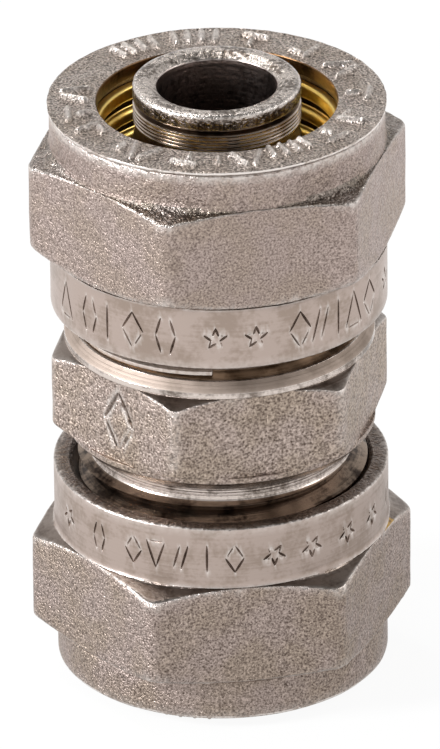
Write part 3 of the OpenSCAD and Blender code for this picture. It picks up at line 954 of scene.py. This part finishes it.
# The body's edges more than 2 mm below its middle get neither wear nor the painted highlight.
mark_worn_and_highlighted_edges(body_bm, [BODY_ZONES.index(zone) for zone in ("mark", "ribs", "spigot groove", "relief")],
                above=-2 * MM)
top_nut = finish_mesh(top_bm, "top_nut_forging")
bottom_nut = finish_mesh(bottom_bm, "bottom_nut_forging")
body = finish_mesh(body_bm, "coupling_body")
top_ring = finish_mesh(top_ring_bm, "top_clamping_ring")
bottom_ring = finish_mesh(bottom_ring_bm, "bottom_clamping_ring")
for piece, node, slot in ((top_nut, "top_nut", "nut_nickel"), (bottom_nut, "bottom_nut", "nut_nickel"),
                          (top_ring, "top_split_ring", "split_ring_brass"), (body, "body", "body_nickel"),
                          (bottom_ring, "bottom_split_ring", "split_ring_brass")):
    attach(piece, node)
    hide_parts(node)
print("five pieces ride on their bodies")

# %% [markdown]
# Forged brass is blasted with glass beads and then nickel plated. The beads leave dents about 0.15 mm
# wide, so the plating is soft, warm grey and speckled evenly with light and dark. The pattern is noise at
# the dents' real size, and the same noise drives the bump and the colour, so the dents are painted darker:
# partly residue in them and partly painted shade. Along the exposed edges a brighter metal is painted in
# spots: partly rubbed-through wear and partly a painted highlight.

# %% Blasted nickel
GRIT = 0.15
# The bright edge colour stands for worn nickel and for a painted highlight along the edges.
WORN_AND_HIGHLIGHTED_NICKEL = "#ded6d0"
COLOURS = {"data_type": "RGBA"}


def per_mm(size):
    """The scale of a noise texture whose features are so many mm wide; Blender's unit is the metre."""
    return 1000.0 / size


def paint_wear_and_highlight(tree, place, colour, bare):
    """Paints a brighter metal in spots along the exposed edges: partly rubbed-through wear, partly a painted
    highlight. Gives the new colour and its share.
    """
    # This exposure paints both rubbed wear and a painted highlight along the edges.
    wear = add_node(tree, "ShaderNodeAttribute", {"attribute_name": "edge_wear_and_highlight"}).outputs["Fac"]
    noise_there = add_node(tree, "ShaderNodeTexNoise", Vector=place, Scale=per_mm(0.4), Detail=3.0)
    spots = add_node(tree, "ShaderNodeMapRange", Value=noise_there, From_Min=0.38, From_Max=0.58,
                     To_Min=0.3, To_Max=0.8)
    share = add_node(tree, "ShaderNodeMath", TIMES, _0=wear, _1=spots)
    return add_node(tree, "ShaderNodeMix", COLOURS, _0=share, _6=colour, _7=linear(bare)), share


def metal_surface(tree, colour, roughness, height, depth):
    """A metal shader with a bump of so many mm, and the material's output."""
    bump = add_node(tree, "ShaderNodeBump", Height=height, Strength=1.0, Distance=depth * MM)
    shader = add_node(tree, "ShaderNodeBsdfPrincipled", Base_Color=colour, Metallic=1.0, Roughness=roughness,
                      Normal=bump)
    add_node(tree, "ShaderNodeOutputMaterial", Surface=shader)


def blasted_nickel(name, light, dark, warm, grit, depth, roughness):
    material, tree = new_material(name)
    place = add_node(tree, "ShaderNodeTexCoord").outputs["Object"]
    dents = add_node(tree, "ShaderNodeTexNoise", Vector=place, Scale=per_mm(grit), Detail=2.0, Roughness=0.6)
    coarse = add_node(tree, "ShaderNodeTexNoise", Vector=place, Scale=per_mm(grit * 4), Detail=2.0)
    clouds = add_node(tree, "ShaderNodeTexNoise", Vector=place, Scale=per_mm(3.5), Detail=4.0)
    warmth = add_node(tree, "ShaderNodeMapRange", Value=clouds, From_Min=0.42, From_Max=0.6)
    skin = add_node(tree, "ShaderNodeMix", COLOURS, _0=warmth, _6=linear(light), _7=linear(warm))
    # The dents are painted darker than the crests: partly residue in them, partly painted shade.
    lit = add_node(tree, "ShaderNodeMapRange", Value=dents, From_Min=0.3, From_Max=0.7)
    speckled = add_node(tree, "ShaderNodeMix", COLOURS, _0=lit, _6=linear(dark), _7=skin)
    colour, worn_and_highlighted_share = paint_wear_and_highlight(tree, place, speckled, WORN_AND_HIGHLIGHTED_NICKEL)
    relief = add_node(tree, "ShaderNodeMath", TIMES_PLUS, _0=coarse, _1=1.5, _2=dents)
    left = add_node(tree, "ShaderNodeMapRange", Value=worn_and_highlighted_share, To_Min=1.0, To_Max=0.4)
    height = add_node(tree, "ShaderNodeMath", TIMES, _0=relief, _1=left)
    rough = add_node(tree, "ShaderNodeMapRange", Value=coarse, From_Min=0.3, From_Max=0.7,
                     To_Min=roughness - 0.06, To_Max=roughness + 0.06)
    metal_surface(tree, colour, rough, height, depth)
    return material


blasted = blasted_nickel("bead_blasted_nickel_plate", "#c4b2aa", "#6f615a", "#bfada0", GRIT, 0.08, 0.44)
lower_skin = blasted_nickel("stained_blasted_nickel", "#cab8af", "#5a4c44", "#c2b0a1", GRIT, 0.1, 0.44)
body_skin = blasted_nickel("coarser_blasted_nickel", "#d0beb4", "#5d4f46", "#c8b6a6", 0.18, 0.11, 0.43)
ring_skin = blasted_nickel("forged_nickel_ring_face", "#e3d5cb", "#31271f", "#d6c6b9", 0.17, 0.13, 0.36)
shoulder_skin = blasted_nickel("coarse_nickel_shoulder", "#b9ada5", "#5a504a", "#a09384", 0.19, 0.15, 0.32)
rim_skin = blasted_nickel("rough_brown_rim_face", "#8f7e73", "#43362e", "#7d6a5a", 0.2, 0.1, 0.36)
print("grit noise scale", round(per_mm(GRIT)))

# %% [markdown]
# Turned brass under nickel shows the tool's fine rings. They run round the axis, so the pattern is noise
# that is stretched round it: its coordinates are the radius and the height, and the angle is left out.

# %% Turned nickel
def turned_metal(name, light, dark, line, depth, roughness, speck=0.35, across=False):
    """Nickel or brass off the lathe; line is the spacing of the tool's rings in mm. With across the marks
    run along the axis, like the chatter on the spigot's rim."""
    material, tree = new_material(name)
    place = add_node(tree, "ShaderNodeTexCoord").outputs["Object"]
    split = add_node(tree, "ShaderNodeSeparateXYZ", Vector=place).outputs
    flat = add_node(tree, "ShaderNodeCombineXYZ", X=split["X"], Y=split["Y"])
    radius = add_node(tree, "ShaderNodeVectorMath", LENGTH, _0=flat)
    rings = add_node(tree, "ShaderNodeCombineXYZ", X=radius, Y=split["Z"])
    lines = add_node(tree, "ShaderNodeTexNoise", Vector=flat if across else rings, Scale=per_mm(line * 2),
                     Detail=3.0, Roughness=0.7)
    stain = add_node(tree, "ShaderNodeTexNoise", Vector=place, Scale=per_mm(2.2), Detail=4.0)
    fine = add_node(tree, "ShaderNodeTexNoise", Vector=place, Scale=per_mm(0.3), Detail=2.0)
    both = add_node(tree, "ShaderNodeMath", TIMES_PLUS, _0=fine, _1=speck, _2=stain)
    streaked = add_node(tree, "ShaderNodeMath", TIMES_PLUS, _0=lines, _1=0.4, _2=both)
    lit = add_node(tree, "ShaderNodeMapRange", Value=streaked, From_Min=0.55 + speck / 2,
                   From_Max=0.75 + speck / 2)
    stained = add_node(tree, "ShaderNodeMix", COLOURS, _0=lit, _6=linear(dark), _7=linear(light))
    colour, _ = paint_wear_and_highlight(tree, place, stained, light if "brass" in name else WORN_AND_HIGHLIGHTED_NICKEL)
    height = add_node(tree, "ShaderNodeMath", TIMES_PLUS, _0=fine, _1=speck, _2=lines)
    metal_surface(tree, colour, roughness, height, depth)
    return material


NUT_FINISHES = {
    "blasted": blasted,
    "collar": turned_metal("satin_turned_nickel_collar", "#b0a097", "#9b8b80", 0.12, 0.015, 0.38),
    # Machined and smoother than the blasted skin, and painted darker: a painted dark reflection on the
    # shoulders.
    "machined shoulder": turned_metal("machined_nickel_shoulder_painted_dark", "#8d8077", "#6c5f56", 0.2, 0.03, 0.3),
    "inside": turned_metal("shaded_inner_nickel", "#594838", "#30251c", 0.12, 0.015, 0.35),
    "land": turned_metal("brown_stained_land", "#7a5c40", "#3d2b1c", 0.15, 0.015, 0.35),
    "ring face": ring_skin,
    "coarse shoulder": shoulder_skin,
    "rim face": rim_skin,
    # Darker in the stamped strokes, and painted shade where it lines the crease at the boss's foot.
    "stroke": turned_metal("stained_stroke_and_shaded_crease", "#85746a", "#5d4d43", 0.1, 0.01, 0.5),
    "bare brass": turned_metal("rubbed_through_brass", "#c09a58", "#6a5236", 0.2, 0.03, 0.3, 0.6),
    "lip": turned_metal("rubbed_nickel_lip", "#e2dad4", "#a3958b", 0.2, 0.02, 0.3, 0.8),
    "raised mark": blasted_nickel("rubbed_raised_mark", "#e3d7ce", "#5e5148", "#d3c5ba", 0.19, 0.07, 0.36)}
BODY_FINISHES = {
    "blasted": body_skin,
    "turned": turned_metal("bright_turned_nickel", "#cfc3bb", "#6f635a", 0.1, 0.04, 0.22),
    "spigot": turned_metal("spigot_turned_nickel", "#a98f76", "#604a37", 0.08, 0.015, 0.26, 0.2),
    "bore": turned_metal("dark_drilled_bore", "#94827a", "#4c3c35", 0.3, 0.05, 0.3, 0.6),
    "machined shoulder": NUT_FINISHES["machined shoulder"],
    "ribs": turned_metal("ribbed_spigot_nickel", "#d0c1b3", "#8a7563", 0.08, 0.01, 0.22, 0.2),
    "spigot rim": turned_metal("chattered_spigot_rim", "#cdc2b9", "#6a5e54", 0.12, 0.065, 0.25, 1.1, True),
    "spigot groove": turned_metal("brown_spigot_groove", "#7a6654", "#3f3025", 0.1, 0.02, 0.35),
    "cone": turned_metal("satin_turned_nickel_cone", "#b5a599", "#998a7e", 0.15, 0.06, 0.62, 0.1),
    "relief": turned_metal("brown_stained_relief", "#a08b76", "#64523f", 0.2, 0.02, 0.3, 0.2),
    # Darker than the upper relief: painted shade in the gap under the body's hexagon.
    "thread start": turned_metal("shaded_thread_start_under_hex", "#8f7d6e", "#33271f", 0.2, 0.03, 0.25, 0.3),
    "mark": blasted_nickel("stained_stamped_mark", "#7d6d63", "#42362f", "#75665a", 0.2, 0.1, 0.45)}
RING_FINISHES = {
    "land": turned_metal("bright_turned_brass", "#ffdf85", "#ebc264", 0.1, 0.01, 0.28),
    # The groove colour is painted shade deep in the ring's grooves.
    "groove": turned_metal("shaded_brass_groove", "#523a18", "#25180a", 0.12, 0.015, 0.4)}
for piece, skin in ((top_nut, blasted), (bottom_nut, lower_skin)):
    for zone in NUT_ZONES:
        piece.data.materials.append(skin if zone == "blasted" else NUT_FINISHES[zone])
for zone in BODY_ZONES:
    body.data.materials.append(BODY_FINISHES[zone])
for piece in (top_ring, bottom_ring):
    for zone in RING_ZONES:
        piece.data.materials.append(RING_FINISHES[zone])
print(len(bpy.data.materials), "materials")


# %% Seals and washers
def plain_finish(name, colour, roughness, grain, depth):
    """A moulded finish with a fine grain, for rubber and plastic."""
    material, tree = new_material(name)
    place = add_node(tree, "ShaderNodeTexCoord").outputs["Object"]
    grit = add_node(tree, "ShaderNodeTexNoise", Vector=place, Scale=per_mm(grain), Detail=3.0)
    rough = add_node(tree, "ShaderNodeMapRange", Value=grit, To_Min=roughness - 0.1,
                     To_Max=roughness + 0.1)
    bump = add_node(tree, "ShaderNodeBump", Height=grit, Strength=1.0, Distance=depth * MM)
    shader = add_node(tree, "ShaderNodeBsdfPrincipled", Base_Color=linear(colour), Roughness=rough,
                      Normal=bump)
    add_node(tree, "ShaderNodeOutputMaterial", Surface=shader)
    return material


rubber = plain_finish("moulded_epdm_rubber", "#1d1c1c", 0.5, 0.4, 0.01)
plastic = plain_finish("white_ptfe_washer", "#e6e3da", 0.45, 0.8, 0.008)
for node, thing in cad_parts.items():
    if "o_ring" in node:
        finish = rubber
    elif "washer" in node:
        finish = plastic
    else:
        continue
    thing.data.materials.clear()
    thing.data.materials.append(finish)
print("seals are rubber, washers plastic")

# %% [markdown]
# The light is a plain soft studio: a large softbox to the left, a weaker one to the right and one above.
# The left one is the strongest, so the left flats are a little brighter than the front ones.

# %% Lamps
def softbox(name, azimuth, elevation, distance, size, watts, colour=(1, 1, 1)):
    """A square area lamp on a sphere round the coupling. Azimuth 0 is in front, towards -Y."""
    a, e = math.radians(azimuth), math.radians(elevation)
    data = bpy.data.lights.new(name, "AREA")
    data.energy = watts
    data.color = colour
    data.size = size
    lamp = bpy.data.objects.new(name, data)
    bpy.context.scene.collection.objects.link(lamp)
    lamp.location = distance * Vector((math.sin(a) * math.cos(e), -math.cos(a) * math.cos(e), math.sin(e)))
    lamp.rotation_euler = (-lamp.location).to_track_quat("-Z", "Y").to_euler()


softbox("key_softbox", -85, 30, 1.2, 0.35, 18, (0.93, 0.96, 1.0))
softbox("fill_softbox", 78, 35, 1.4, 0.5, 3)
softbox("top_softbox", -160, 62, 1.3, 0.4, 5)
print("three softboxes")
